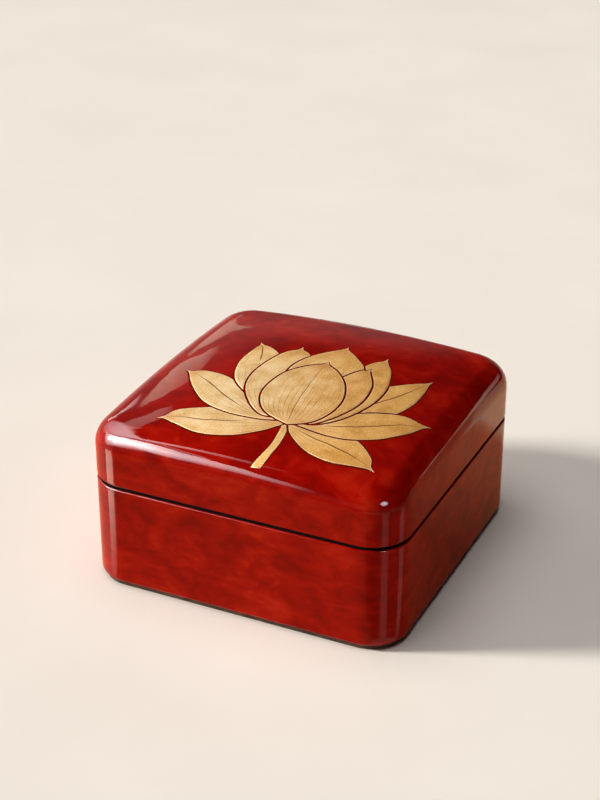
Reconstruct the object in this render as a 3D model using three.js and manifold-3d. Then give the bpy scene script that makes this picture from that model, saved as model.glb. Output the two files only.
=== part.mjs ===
// A square lacquer box with rounded corners, a lift-off pillow lid and a lotus of cut gold on the lid.
// Millimetres, +Z up. The origin is at the centre of the underside and the front faces -Y.
// The core is joined from thin boards: each side is one board, mitred in the middle of each rounded corner.

import * as THREE from 'three';
import { mergeVertices } from 'three/addons/utils/BufferGeometryUtils.js';
import Module from 'manifold-3d';

const wasm = await Module();
wasm.setup();

// Plan of the box
const boxWidth = 120;
const boxDepth = 120;
const cornerRadius = 14.5;
const tightestRadius = 1;

// Foot frame under the body
const footHeight = 1.8;
const footInset = 1.5;
const footWidth = 6;

// Body
const wallThickness = 5;
const bodyWallHeight = 39;
const floorThickness = 4.5;
const bottomEdgeRadius = 1.4;

// Inner lip that the lid slides down over
const lipThickness = 2.5;
const lipRise = 6;
const lipChamfer = 0.6;

// Meeting line of lid and body: the rims rest near the inside and stand back near the outside
const restGap = 0.2;
const lidFit = 0.3;
const rimSetback = 0.4;
const grooveDepth = 1.6;
const rimRound = 0.45;

// Lid
const lidWallHeight = 11.6;
const cornerBand = 0.8;
const cornerDrop = 1.2;
const edgeRadius = 8.4;
const crownRise = 8.4;
const topThickness = 5;
const recessReach = 5;

// Glue line between neighbouring boards
const glueGap = 0.1;

// Cut gold: sheet thickness, height of its underside over the lacquer, and the line left between two pieces
const goldThickness = 0.3;
const goldLift = 0.1;
const goldGap = 0.45;

// The lotus is drawn on a grid with this many cells across the lid's width, and as many across its depth
const gridCells = 120;

// Counts of steps along curves
const halfCornerSteps = 4;
const crownSideSteps = 7;
const edgeRoundSteps = 6;
const crownSteps = 8;
const recessSteps = 4;
const ceilingSteps = 5;
const smallRoundSteps = 3;
const strokeSteps = 3;
const firstGoldRing = 1;

// Heights, from the ground up
const bodyBottom = footHeight;
const bodyRim = bodyBottom + bodyWallHeight;
const floorTop = bodyBottom + floorThickness;
const lidRim = bodyRim + restGap;
const topBase = lidRim + lidWallHeight + glueGap;
const crownTop = topBase + cornerBand + cornerDrop + edgeRadius + crownRise;

// Distances in from the outside faces
const lipOutside = wallThickness + glueGap;
const lipInside = lipOutside + lipThickness;
const lidWallThickness = lipOutside - lidFit;

const redLacquer = { color: 0x8e1c10, roughness: 0.12, metalness: 0 };
const blackLacquer = { color: 0x120c0a, roughness: 0.18, metalness: 0 };
const gold = { color: 0xc89a50, roughness: 0.35, metalness: 1 };

const box = new THREE.Group();

function addPiece(name, geometry, look) {
  geometry.computeVertexNormals();
  const mesh = new THREE.Mesh(geometry, new THREE.MeshStandardMaterial(look));
  mesh.name = name;
  box.add(mesh);
}

function solid(positions, triangles) {
  const geometry = new THREE.BufferGeometry();
  geometry.setAttribute('position', new THREE.Float32BufferAttribute(positions.flat(), 3));
  geometry.setIndex(triangles.flat());
  return geometry;
}

// Corners are counted anticlockwise from the front left one. A corner's arcs share their 45 degree line.
const cornerSigns = [[-1, -1], [1, -1], [1, 1], [-1, 1]];

function halfCorner(corner, startDegrees, inset) {
  const [signX, signY] = cornerSigns[corner % 4];
  const radius = Math.max(cornerRadius - inset, tightestRadius);
  const centreX = signX * (boxWidth / 2 - inset - radius);
  const centreY = signY * (boxDepth / 2 - inset - radius);
  const points = [];
  for (let step = 0; step <= halfCornerSteps; step += 1) {
    const angle = THREE.MathUtils.degToRad(startDegrees + 45 * step / halfCornerSteps);
    points.push([centreX + radius * Math.cos(angle), centreY + radius * Math.sin(angle)]);
  }
  return points;
}

// The plan line of one side from mitre to mitre, at a distance in from the outside face.
// Sides are counted from the front: front, right, back, left.
function sideLine(side, inset, straightSteps = 1) {
  const mitre = 225 + 90 * side;
  const first = halfCorner(side, mitre, inset);
  const last = halfCorner(side + 1, mitre + 45, inset);
  const start = first.at(-1);
  const end = last[0];
  const between = [];
  for (let step = 1; step < straightSteps; step += 1) {
    const share = step / straightSteps;
    between.push([start[0] + (end[0] - start[0]) * share, start[1] + (end[1] - start[1]) * share]);
  }
  return [...first, ...between, ...last];
}

// A closed plan line all round the box
function ringLine(inset, straightSteps = 1) {
  return [0, 1, 2, 3].flatMap((side) => sideLine(side, inset, straightSteps).slice(0, -1));
}

// A board along one side. Its section is a closed anticlockwise line of [inset, height] points.
function sideBoard(side, section) {
  const lines = section.map(([inset]) => sideLine(side, inset));
  const stations = lines[0].length;
  const corners = section.length;
  const positions = [];
  const triangles = [];
  for (let station = 0; station < stations; station += 1) {
    section.forEach(([, height], corner) => positions.push([...lines[corner][station], height]));
  }
  for (let station = 0; station < stations - 1; station += 1) {
    for (let corner = 0; corner < corners; corner += 1) {
      const next = (corner + 1) % corners;
      const here = station * corners;
      const there = here + corners;
      triangles.push([here + corner, there + next, there + corner]);
      triangles.push([here + corner, here + next, there + next]);
    }
  }
  const endOffset = (stations - 1) * corners;
  const outline = section.map(([inset, height]) => new THREE.Vector2(inset, height));
  THREE.ShapeUtils.triangulateShape(outline, []).forEach(([a, b, c]) => {
    triangles.push([a, c, b]);
    triangles.push([endOffset + a, endOffset + b, endOffset + c]);
  });
  return solid(positions, triangles);
}

function addFrame(prefix, section, look) {
  ['front', 'right', 'back', 'left'].forEach((sideName, side) => {
    addPiece(`${prefix}_${sideName}`, sideBoard(side, section), look);
  });
}

// Points of a quarter circle in a section, from one angle to another
function quarter(centreInset, centreHeight, radius, fromDegrees, toDegrees) {
  const points = [];
  for (let step = 0; step <= smallRoundSteps; step += 1) {
    const share = step / smallRoundSteps;
    const angle = THREE.MathUtils.degToRad(fromDegrees + (toDegrees - fromDegrees) * share);
    points.push([centreInset + radius * Math.cos(angle), centreHeight + radius * Math.sin(angle)]);
  }
  return points;
}

// A closed body wrapped by rings of equal count, from an underside centre point to a top centre point
function ringSolid(bottomCentre, rings, topCentre) {
  const count = rings[0].length;
  const positions = [...rings.flat(), bottomCentre, topCentre];
  const bottom = positions.length - 2;
  const top = positions.length - 1;
  const lastRing = (rings.length - 1) * count;
  const triangles = [];
  for (let index = 0; index < count; index += 1) {
    const next = (index + 1) % count;
    triangles.push([bottom, next, index]);
    for (let ring = 0; ring < rings.length - 1; ring += 1) {
      const here = ring * count;
      const above = here + count;
      triangles.push([here + index, here + next, above + next]);
      triangles.push([here + index, above + next, above + index]);
    }
    triangles.push([lastRing + index, lastRing + next, top]);
  }
  return solid(positions, triangles);
}

// Crown of the lid: a pillow that falls by crownRise to the middle of each side, and cornerDrop more to a corner
const cornerMiddle = cornerRadius * (1 - Math.SQRT1_2);
const cornerU = 1 - cornerMiddle / (boxWidth / 2);
const cornerV = 1 - cornerMiddle / (boxDepth / 2);
const cornerFall = crownRise * (cornerU ** 2 + cornerV ** 2 - 1) - cornerDrop;
const cornerLift = cornerFall / (cornerU ** 2 * cornerV ** 2);

function crownHeight([x, y]) {
  const u = x / (boxWidth / 2);
  const v = y / (boxDepth / 2);
  return crownTop - crownRise * (u * u + v * v) + cornerLift * u * u * v * v;
}

function crownRing(line, drop) {
  return line.map((point) => [...point, crownHeight(point) - drop]);
}

function shrunkLine(line, share) {
  return line.map(([x, y]) => [x * share, y * share]);
}

// Rings of the rounded edge, from the side face up to the crown
function edgeRings() {
  const rings = [];
  for (let step = 0; step <= edgeRoundSteps; step += 1) {
    const angle = (Math.PI / 2) * (step / edgeRoundSteps);
    const line = ringLine(edgeRadius * (1 - Math.cos(angle)), crownSideSteps);
    rings.push(crownRing(line, edgeRadius * (1 - Math.sin(angle))));
  }
  return rings;
}

// Rings of the crown inside the rounded edge, outermost first
function crownRings() {
  const border = ringLine(edgeRadius, crownSideSteps);
  const rings = [];
  for (let step = 1; step < crownSteps; step += 1) {
    rings.push(crownRing(shrunkLine(border, 1 - step / crownSteps), 0));
  }
  return rings;
}

// Rings of the hollow under the lid's top, from the middle of its ceiling out and down to the lid walls
function recessRings() {
  const border = ringLine(lidWallThickness + recessReach, crownSideSteps);
  const rings = [];
  for (let step = 1; step < ceilingSteps; step += 1) {
    rings.push(crownRing(shrunkLine(border, step / ceilingSteps), topThickness));
  }
  for (let step = recessSteps; step >= 0; step -= 1) {
    const angle = (Math.PI / 2) * (step / recessSteps);
    const line = ringLine(lidWallThickness + recessReach * (1 - Math.cos(angle)), crownSideSteps);
    const rise = Math.sin(angle);
    rings.push(line.map((point) => {
      const ceiling = crownHeight(point) - topThickness;
      return [...point, topBase + (ceiling - topBase) * rise];
    }));
  }
  return rings;
}

function lidTop() {
  const underside = ringLine(0, crownSideSteps).map((point) => [...point, topBase]);
  const rings = [...recessRings(), underside, ...edgeRings(), ...crownRings()];
  return ringSolid([0, 0, crownTop - topThickness], rings, [0, 0, crownTop]);
}

// A plate with the box's plan, set in from the outside face
function plate(inset, bottom, thickness) {
  const shape = new THREE.Shape(ringLine(inset).map(([x, y]) => new THREE.Vector2(x, y)));
  const geometry = new THREE.ExtrudeGeometry(shape, { depth: thickness, bevelEnabled: false });
  geometry.translate(0, 0, bottom);
  return geometry;
}

function footSection() {
  return [
    [footInset, 0],
    [footInset + footWidth, 0],
    [footInset + footWidth, footHeight - glueGap],
    [footInset, footHeight - glueGap],
  ];
}

function bodyWallSection() {
  const grooveFloor = bodyRim - rimSetback;
  return [
    ...quarter(bottomEdgeRadius, bodyBottom + bottomEdgeRadius, bottomEdgeRadius, 180, 270),
    [wallThickness, bodyBottom],
    [wallThickness, bodyRim],
    [grooveDepth, bodyRim],
    [grooveDepth, grooveFloor],
    ...quarter(rimRound, grooveFloor - rimRound, rimRound, 90, 180),
  ];
}

function lipSection() {
  const foot = floorTop + glueGap;
  const top = bodyRim + lipRise;
  return [
    [lipOutside, foot],
    [lipInside, foot],
    [lipInside, top - lipChamfer],
    [lipInside - lipChamfer, top],
    [lipOutside + lipChamfer, top],
    [lipOutside, top - lipChamfer],
  ];
}

function lidWallSection() {
  const grooveCeiling = lidRim + rimSetback;
  return [
    ...quarter(rimRound, grooveCeiling + rimRound, rimRound, 180, 270),
    [grooveDepth, grooveCeiling],
    [grooveDepth, lidRim],
    [lidWallThickness, lidRim],
    [lidWallThickness, topBase - glueGap],
    [0, topBase - glueGap],
  ];
}

// The lotus, in grid cells from the middle of the lid. Each petal has a base, a tip and the points its left and
// right edges pass through on the way up. The front petals come first, and each later one is cut back along the
// edges of those before it.
const petals = [
  {
    name: 'petal_centre',
    base: [9.5, -37],
    left: [[0, -33.4], [-5.2, -27.5], [-7.3, -19.5], [-5.6, -8], [-0.8, -0.2]],
    tip: [5.5, 7.1],
    right: [[16.4, -32.8], [20.3, -25], [20.7, -15.5], [17.2, -6], [11.4, 1.2]],
  },
  {
    name: 'petal_right_inner',
    base: [9.5, -34],
    left: [[10, -22], [12.5, -10], [15.4, 0], [18.3, 6.8]],
    tip: [20.9, 10.4],
    right: [[17, -33.7], [23.6, -25], [27.1, -14], [26, -2]],
  },
  {
    name: 'petal_centre_back',
    base: [8, -30],
    left: [[-2, -18], [-5, -7], [-4.7, 1.5], [-1.2, 11]],
    tip: [6, 23.5],
    right: [[18, -20], [21, -6], [18.6, 8.2], [13, 15.4]],
  },
  {
    name: 'petal_left_inner',
    base: [5, -34.5],
    left: [[-1.8, -34.8], [-9.2, -28.8], [-14.8, -19.6], [-16.2, -8], [-13.4, 7]],
    tip: [-8.7, 15.4],
    right: [[4, -20], [4, -6], [0.5, 4.5], [-4.2, 10.4]],
  },
  {
    name: 'petal_right_outer',
    base: [9.5, -34],
    left: [[11, -20], [14, -4], [17.2, 8], [19.4, 15.2]],
    tip: [22.5, 22.3],
    right: [[17.6, -33.7], [25.4, -26.2], [30.4, -14], [31.2, -1.5], [28, 11.4]],
  },
  {
    name: 'petal_left_outer',
    base: [-4, -30],
    left: [[-12.5, -24.5], [-21, -16.2], [-25.3, -4], [-25.3, 8.5]],
    tip: [-25.7, 14.7],
    right: [[-4, -16], [-9, -2], [-14.4, 6.2], [-20, 11]],
  },
  {
    name: 'petal_right_low',
    base: [10, -35.6],
    left: [[18, -31], [25.6, -24], [34, -17.4], [43, -12.8]],
    tip: [53.2, -12.7],
    right: [[17, -36.6], [24.5, -37], [32.5, -35.4], [41, -30.2], [48, -21.4]],
  },
  {
    name: 'petal_right_high',
    base: [17, -32],
    left: [[20, -18], [25.6, -6], [32, 2.8], [37.8, 10]],
    tip: [42.6, 16.1],
    right: [[30, -24], [38.6, -15.8], [42.4, -5.6], [43, 4.6]],
  },
  {
    name: 'petal_left_high',
    base: [7, -35.6],
    left: [[-1.6, -37.5], [-13.6, -37.2], [-24.7, -33.3], [-34, -24.2]],
    tip: [-42.5, -13.2],
    right: [[-4, -32], [-12.4, -25], [-22.6, -16.8], [-33.4, -13.3]],
  },
  {
    name: 'petal_left_low',
    base: [8.2, -37.6],
    left: [[2.7, -43.2], [-6.3, -48.5], [-17.8, -50.5], [-28.3, -47.9]],
    tip: [-36.3, -46.5],
    right: [[0, -34], [-12, -34.6], [-22, -37], [-31, -40.4]],
  },
  {
    name: 'petal_front_right',
    base: [10.4, -37.4],
    left: [[16, -35.6], [26, -34], [35.4, -35.4], [42.6, -41.2]],
    tip: [46.8, -47.7],
    right: [[13.2, -41.6], [21.3, -47.3], [30.6, -49.3], [39.4, -47.9]],
  },
];

// The stem bends to the left as it comes forward, and ends in a short flare
const stemLeft = [[8.2, -37], [8.9, -42.6], [9.2, -48], [8.4, -53.4], [6, -57.8]];
const stemRight = [[9.4, -57.6], [11, -54], [11.7, -47.6], [11.2, -41], [10.3, -37]];

function onLid([x, y]) {
  return new THREE.Vector2(x * (boxWidth / gridCells), y * (boxDepth / gridCells));
}

// A smooth line through drawn points, without its last point, so that the next stroke can carry on from it
function stroke(points) {
  const curve = new THREE.SplineCurve(points.map(onLid));
  return curve.getPoints((points.length - 1) * strokeSteps).slice(0, -1);
}

// Outlines run anticlockwise
function petalOutline({ base, left, tip, right }) {
  const clockwise = [...stroke([base, ...left, tip]), ...stroke([tip, ...right.toReversed(), base])];
  return clockwise.reverse();
}

function stemOutline() {
  return [...stroke(stemLeft), ...stroke([stemLeft.at(-1), stemRight[0]]), ...stroke(stemRight),
    onLid(stemRight.at(-1))];
}

// Moves an anticlockwise outline outwards, with its corners kept short
function grownOutline(outline, distance) {
  return outline.map((point, index) => {
    const before = outline[(index + outline.length - 1) % outline.length];
    const after = outline[(index + 1) % outline.length];
    const inward = new THREE.Vector2().subVectors(point, before).normalize();
    const outward = new THREE.Vector2().subVectors(after, point).normalize();
    const along = inward.add(outward).normalize();
    return new THREE.Vector2(point.x + along.y * distance, point.y - along.x * distance);
  });
}

// An upright prism on an outline, tall enough to pass through the whole lid top
function upright(outline) {
  const geometry = new THREE.ExtrudeGeometry(new THREE.Shape(outline), {
    depth: crownTop - topBase + 2 * edgeRadius,
    bevelEnabled: false,
  });
  geometry.translate(0, 0, topBase - edgeRadius);
  return geometry;
}

function toManifold(geometry) {
  const bare = geometry.clone();
  bare.deleteAttribute('normal');
  bare.deleteAttribute('uv');
  const welded = mergeVertices(bare);
  return new wasm.Manifold(new wasm.Mesh({
    numProp: 3,
    vertProperties: Float32Array.from(welded.attributes.position.array),
    triVerts: Uint32Array.from(welded.index.array),
  }));
}

function toGeometry(manifold) {
  const mesh = manifold.getMesh();
  const geometry = new THREE.BufferGeometry();
  geometry.setAttribute('position', new THREE.BufferAttribute(Float32Array.from(mesh.vertProperties), 3));
  geometry.setIndex([...mesh.triVerts]);
  return geometry;
}

// A thin sheet that follows the crown and the upper part of its rounded edge, from which the gold is cut
function goldSheet() {
  const rings = [...edgeRings().slice(firstGoldRing), ...crownRings()];
  const raised = (amount) => rings.map((ring) => ring.map(([x, y, z]) => [x, y, z + amount]));
  const underside = raised(goldLift).reverse();
  const face = raised(goldLift + goldThickness);
  const bottomCentre = crownTop + goldLift;
  return ringSolid([0, 0, bottomCentre], [...underside, ...face], [0, 0, bottomCentre + goldThickness]);
}

// The drawn outlines run along the middle of the line left between two pieces
function addLotus() {
  const sheet = toManifold(goldSheet());
  const outlines = petals.map((petal) => [petal.name, petalOutline(petal)]);
  outlines.push(['lotus_stem', stemOutline()]);
  const cutters = [];
  outlines.forEach(([name, outline]) => {
    let piece = sheet.intersect(toManifold(upright(grownOutline(outline, -goldGap / 2))));
    cutters.forEach((cutter) => {
      piece = piece.subtract(cutter);
    });
    addPiece(name, toGeometry(piece), gold);
    cutters.push(toManifold(upright(grownOutline(outline, goldGap / 2))));
  });
}

addFrame('foot', footSection(), blackLacquer);
addPiece('floor_board', plate(lipOutside, bodyBottom, floorThickness), blackLacquer);
addFrame('body_wall', bodyWallSection(), redLacquer);
addFrame('lip', lipSection(), blackLacquer);
addFrame('lid_wall', lidWallSection(), redLacquer);
addPiece('lid_top', lidTop(), redLacquer);
addLotus();

export default box;
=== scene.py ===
import math

import bmesh
import bpy
import numpy as np
from mathutils import Matrix, Vector
from mathutils.bvhtree import BVHTree
from mathutils.geometry import delaunay_2d_cdt
from mathutils.interpolate import poly_3d_calc


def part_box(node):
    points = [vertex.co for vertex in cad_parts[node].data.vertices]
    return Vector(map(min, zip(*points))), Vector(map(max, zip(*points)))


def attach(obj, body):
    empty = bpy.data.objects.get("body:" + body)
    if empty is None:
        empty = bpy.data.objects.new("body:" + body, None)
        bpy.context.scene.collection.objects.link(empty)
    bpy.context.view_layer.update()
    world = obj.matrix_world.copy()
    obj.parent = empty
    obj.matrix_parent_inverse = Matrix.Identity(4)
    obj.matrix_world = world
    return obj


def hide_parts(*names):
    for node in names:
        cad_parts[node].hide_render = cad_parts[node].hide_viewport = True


# A square box of red lacquer with a lift-off pillow lid and a lotus of cut gold on the lid.
# Lengths are metres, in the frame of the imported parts: the front faces -Y and the box stands on Z = 0.

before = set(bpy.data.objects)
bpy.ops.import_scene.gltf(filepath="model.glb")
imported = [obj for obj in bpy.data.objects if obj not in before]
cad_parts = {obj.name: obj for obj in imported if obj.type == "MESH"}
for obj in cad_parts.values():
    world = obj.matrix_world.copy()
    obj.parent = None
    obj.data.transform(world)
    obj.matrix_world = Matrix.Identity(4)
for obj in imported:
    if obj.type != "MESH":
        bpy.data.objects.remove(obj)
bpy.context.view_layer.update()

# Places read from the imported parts
HALF_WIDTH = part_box("lid_top")[1].x
HALF_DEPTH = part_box("lid_top")[1].y
FOOT_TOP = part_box("foot_front")[1].z
FOOT_INSET = HALF_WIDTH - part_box("foot_right")[1].x
BODY_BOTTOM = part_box("body_wall_front")[0].z
BODY_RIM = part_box("body_wall_front")[1].z
LID_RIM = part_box("lid_wall_front")[0].z
TOP_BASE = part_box("lid_top")[0].z
CROWN_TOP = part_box("lid_top")[1].z
FLOOR_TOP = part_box("floor_board")[1].z
LIP_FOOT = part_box("lip_front")[0].z
LIP_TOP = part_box("lip_front")[1].z
LIP_OUTSIDE = HALF_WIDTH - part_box("lip_right")[1].x

# Sizes of the woodwork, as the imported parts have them
CORNER_RADIUS = 0.0145
TIGHTEST_RADIUS = 0.001
FOOT_WIDTH = 0.006
WALL_THICKNESS = 0.005
LID_WALL_THICKNESS = 0.0048
LIP_THICKNESS = 0.0025
BOTTOM_EDGE_RADIUS = 0.0014
GROOVE_DEPTH = 0.0016
RIM_SETBACK = 0.0005
RIM_ROUND = 0.0006
EDGE_RADIUS = 0.0084
CROWN_RISE = 0.0084
CORNER_DROP = 0.0012
TOP_THICKNESS = 0.005
RECESS_REACH = 0.005

# Softness that the coats of lacquer give the edges
SMALL_ROUND = 0.0002
FINE_ROUND = 0.5 * SMALL_ROUND
FINEST_ROUND = 0.1 * SMALL_ROUND
LIP_ROUND = 0.0009

# A ring of points beside each rounding keeps its faces flat. It lies this far off, or on a narrow face at
# this share of the face.
SUPPORT = 0.0005
SUPPORT_SHARE = 0.2

# The red outside is a shell that ends at the rounded rims. A black lining fills what is left of each wall.
SHELL_DEPTH = 0.00065
LINING_GAP = 0.00002
LINING_INSET = SHELL_DEPTH + LINING_GAP
JOINT_LAYER = 0.00012
BEHIND_JOINT = GROOVE_DEPTH + 2 * JOINT_LAYER
BODY_GROOVE = BODY_RIM - RIM_SETBACK
LID_GROOVE = LID_RIM + RIM_SETBACK
TRAY_THICKNESS = 0.0003
TRAY_FILLET = 0.0024

# The gold over the lacquer, the line left between two pieces, and the dark ground that shows around them
GOLD_TOP = 0.00007
GOLD_RIM = 0.00006
GOLD_SUNK = 0.00003
GOLD_GAP = 0.00085
GOLD_EDGE_ROUND = 0.0001
GROUND_TOP = 0.00002
GROUND_BORDER = 0.0005
GROUND_EDGE_ROUND = 0.0002

# The line round a piece is broader on its near side, where it lies outermost, by a painted shadow cast
# towards the front, and narrower round its tip.
NEAR_SHADOW_LINE = 0.0005
TIP_LINE_SHARE = 0.4

# The fine point that a petal ends in: how long it is on the drawing grid, and how far its sides lean in
TIP_REACH = 3.0
TIP_LEAN = 0.45

# How far veins reach to each side of their middles, in millimetres, and how much they wobble, a rib in
# millimetres and a fine vein in its spacing
RIB_REACH = 0.34
FINE_REACH = 0.17
LEAST_REACH = 0.01
RIB_WOBBLE = 0.8
FINE_WOBBLE = 0.3

# How quickly a vein fades in and out over its own length
FADE_IN = 6
FADE_OUT = 2.5

# How much the veins of a fan differ in where they start and end, and how much shorter its outermost ones are
START_SPREAD = 0.06
END_SPREAD = 0.12
SIDE_SHORTENING = 0.5
SIDE_CURVE = 1.5

# Counts of steps along curves
ARC_STEPS = 22
SIDE_STEPS = 26
ROUND_STEPS = 5
EDGE_STEPS = 18
CROWN_STEPS = 28
LINING_STEPS = 10
STROKE_STEPS = 9
ALONG_SAMPLES = 97
ACROSS_SAMPLES = 25
GOLD_SHARP_DEGREES = 60

# Distances between neighbouring points in the gold and in its ground
GOLD_SPACING = 0.0007
GROUND_SPACING = 0.0016

# Depths of the points that round the edge of the gold, and the border that its other points keep clear, both
# as shares of GOLD_EDGE_ROUND
EDGE_POINT_DEPTHS = (0.12, 0.35, 0.7, 1.1)
CLEAR_BORDER = 1.6

MILLIMETRE = 0.001

# Points of a flat region that lie closer together than this, in millimetres, are taken as one.
MERGE_DISTANCE = 1e-5

# Least length, and its square, that a distance is divided by
LEAST_LENGTH = 1e-9
LEAST_SQUARE = 1e-18


def unit(vector):
    return vector / np.linalg.norm(vector)


# Plan and crown of the box

def plan_line(inset):
    """The box's plan line, anticlockwise, at a distance in from the outside faces."""
    radius = max(CORNER_RADIUS - inset, TIGHTEST_RADIUS)
    reach = np.array((HALF_WIDTH, HALF_DEPTH)) - inset - radius
    arcs = []
    for corner, signs in enumerate(((-1, -1), (1, -1), (1, 1), (-1, 1))):
        angles = np.radians(180 + 90 * corner + np.linspace(0, 90, ARC_STEPS + 1))
        arcs.append(reach * signs + radius * np.column_stack((np.cos(angles), np.sin(angles))))
    points = []
    for corner, arc in enumerate(arcs):
        ahead = arcs[(corner + 1) % 4][0]
        points += [arc, np.linspace(arc[-1], ahead, SIDE_STEPS + 1)[1:-1]]
    return np.vstack(points)


def corner_lift():
    """The crown's corner term, chosen so that a corner lies CORNER_DROP below the middle of a side."""
    middle = CORNER_RADIUS * (1 - math.sqrt(0.5))
    u2 = (1 - middle / HALF_WIDTH) ** 2
    v2 = (1 - middle / HALF_DEPTH) ** 2
    return (CROWN_RISE * (u2 + v2 - 1) - CORNER_DROP) / (u2 * v2)


CORNER_LIFT = corner_lift()


def crown_height(points):
    u2 = (points[:, 0] / HALF_WIDTH) ** 2
    v2 = (points[:, 1] / HALF_DEPTH) ** 2
    return CROWN_TOP - CROWN_RISE * (u2 + v2) + CORNER_LIFT * u2 * v2


def lid_height(points):
    """Height of the lid's outside over a point of its plan, rounded edge included."""
    reach = np.abs(points) - (HALF_WIDTH - CORNER_RADIUS, HALF_DEPTH - CORNER_RADIUS)
    outward = np.linalg.norm(np.maximum(reach, 0), axis=1) + np.minimum(reach.max(axis=1), 0)
    from_crown = np.clip(EDGE_RADIUS - CORNER_RADIUS + outward, 0, EDGE_RADIUS)
    return crown_height(points) - EDGE_RADIUS + np.sqrt(EDGE_RADIUS**2 - from_crown**2)


def on_crown(line, drop):
    return np.column_stack((line, crown_height(line) - drop))


def at_height(inset, height):
    line = plan_line(inset)
    return np.column_stack((line, np.full(len(line), height)))


# Mesh making

def make_piece(name, vertices, faces, material, body, slot, sharp_degrees=35):
    """A smooth-shaded piece that rides on a body and takes the material given; its slot is not used."""
    mesh = bpy.data.meshes.new(name)
    mesh.from_pydata([tuple(vertex) for vertex in vertices], [], faces)
    shape = bmesh.new()
    shape.from_mesh(mesh)
    bmesh.ops.recalc_face_normals(shape, faces=shape.faces)
    shape.to_mesh(mesh)
    shape.free()
    mesh.shade_smooth()
    mesh.set_sharp_from_angle(angle=math.radians(sharp_degrees))
    mesh.materials.append(material)
    piece = bpy.data.objects.new(name, mesh)
    bpy.context.scene.collection.objects.link(piece)
    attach(piece, body)
    return piece


def wrap(rings, ends=()):
    """Vertices and faces of a closed surface over rings of points, closed by two end points or on itself."""
    count = len(rings[0])
    vertices = [*np.vstack(rings), *ends]
    pairs = [(ring, ring + 1) for ring in range(len(rings) - 1)]
    if not ends:
        pairs.append((len(rings) - 1, 0))
    faces = []
    for index in range(count):
        after = (index + 1) % count
        for here, there in pairs:
            low, high = here * count, there * count
            faces.append((low + index, low + after, high + after, high + index))
        if ends:
            last = (len(rings) - 1) * count
            faces.append((len(vertices) - 2, after, index))
            faces.append((last + index, last + after, len(vertices) - 1))
    return vertices, faces


def arc(inset, height, radius, start_degrees, end_degrees):
    """Section points of an arc round a centre, with an inset and a height for each."""
    angles = np.radians(np.linspace(start_degrees, end_degrees, ROUND_STEPS + 1))
    return [(inset + radius * math.cos(angle), height + radius * math.sin(angle)) for angle in angles]


def rounded(section):
    """Points of a closed section whose corners are given as inset, height and radius."""
    corners = [np.array(corner[:2]) for corner in section]
    points = []
    for index, (_, _, radius) in enumerate(section):
        back = corners[index - 1] - corners[index]
        ahead = corners[(index + 1) % len(corners)] - corners[index]
        half = math.acos(unit(back) @ unit(ahead)) / 2
        reach = radius / math.tan(half)
        start = corners[index] + unit(back) * reach
        end = corners[index] + unit(ahead) * reach
        centre = corners[index] + unit(unit(back) + unit(ahead)) * radius / math.sin(half)
        points.append(start + unit(back) * min(SUPPORT, SUPPORT_SHARE * np.linalg.norm(back)))
        for share in np.linspace(0, 1, ROUND_STEPS + 1):
            points.append(centre + unit(start * (1 - share) + end * share - centre) * radius)
        points.append(end + unit(ahead) * min(SUPPORT, SUPPORT_SHARE * np.linalg.norm(ahead)))
    return points


def frame_piece(name, section, material, body, slot):
    """A ring of one section all round the box."""
    rings = [at_height(inset, height) for inset, height in rounded(section)]
    return make_piece(name, *wrap(rings), material, body, slot)


# The body

def build_foot(material):
    outer = FOOT_INSET
    inner = FOOT_INSET + FOOT_WIDTH
    section = [
        (outer, 0, SMALL_ROUND),
        (inner, 0, SMALL_ROUND),
        (inner, FOOT_TOP, SMALL_ROUND),
        (outer, FOOT_TOP, SMALL_ROUND),
    ]
    foot = frame_piece("foot_ring", section, material, "body", "black_lacquer")
    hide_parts("foot_front", "foot_right", "foot_back", "foot_left")


def build_body_shell(material):
    above_turn = BODY_BOTTOM + SHELL_DEPTH
    section = [
        (0, BODY_BOTTOM, BOTTOM_EDGE_RADIUS),
        (2 * BOTTOM_EDGE_RADIUS, BODY_BOTTOM, FINE_ROUND),
        (2 * BOTTOM_EDGE_RADIUS, above_turn, FINE_ROUND),
        (SHELL_DEPTH + BOTTOM_EDGE_RADIUS, above_turn, FINE_ROUND),
        (SHELL_DEPTH, above_turn + BOTTOM_EDGE_RADIUS, FINE_ROUND),
        (SHELL_DEPTH, BODY_GROOVE, FINEST_ROUND),
        (0, BODY_GROOVE, RIM_ROUND),
    ]
    shell = frame_piece("body_shell", section, material, "body", "red_lacquer")
    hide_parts("body_wall_front", "body_wall_right", "body_wall_back", "body_wall_left")


def build_body_lining(material):
    """The black inside of the walls, with the floor of the groove and the rim inside it."""
    above_turn = BODY_BOTTOM + LINING_INSET
    section = [
        (LINING_INSET, above_turn + BOTTOM_EDGE_RADIUS, FINE_ROUND),
        (LINING_INSET + BOTTOM_EDGE_RADIUS, above_turn, FINE_ROUND),
        (WALL_THICKNESS, above_turn, SMALL_ROUND),
        (WALL_THICKNESS, BODY_RIM, FINE_ROUND),
        (BEHIND_JOINT, BODY_RIM, FINE_ROUND),
        (BEHIND_JOINT, BODY_GROOVE - 2 * JOINT_LAYER, FINE_ROUND),
        (LINING_INSET, BODY_GROOVE - 2 * JOINT_LAYER, FINEST_ROUND),
    ]
    frame_piece("body_lining", section, material, "body", "black_lacquer")


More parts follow.
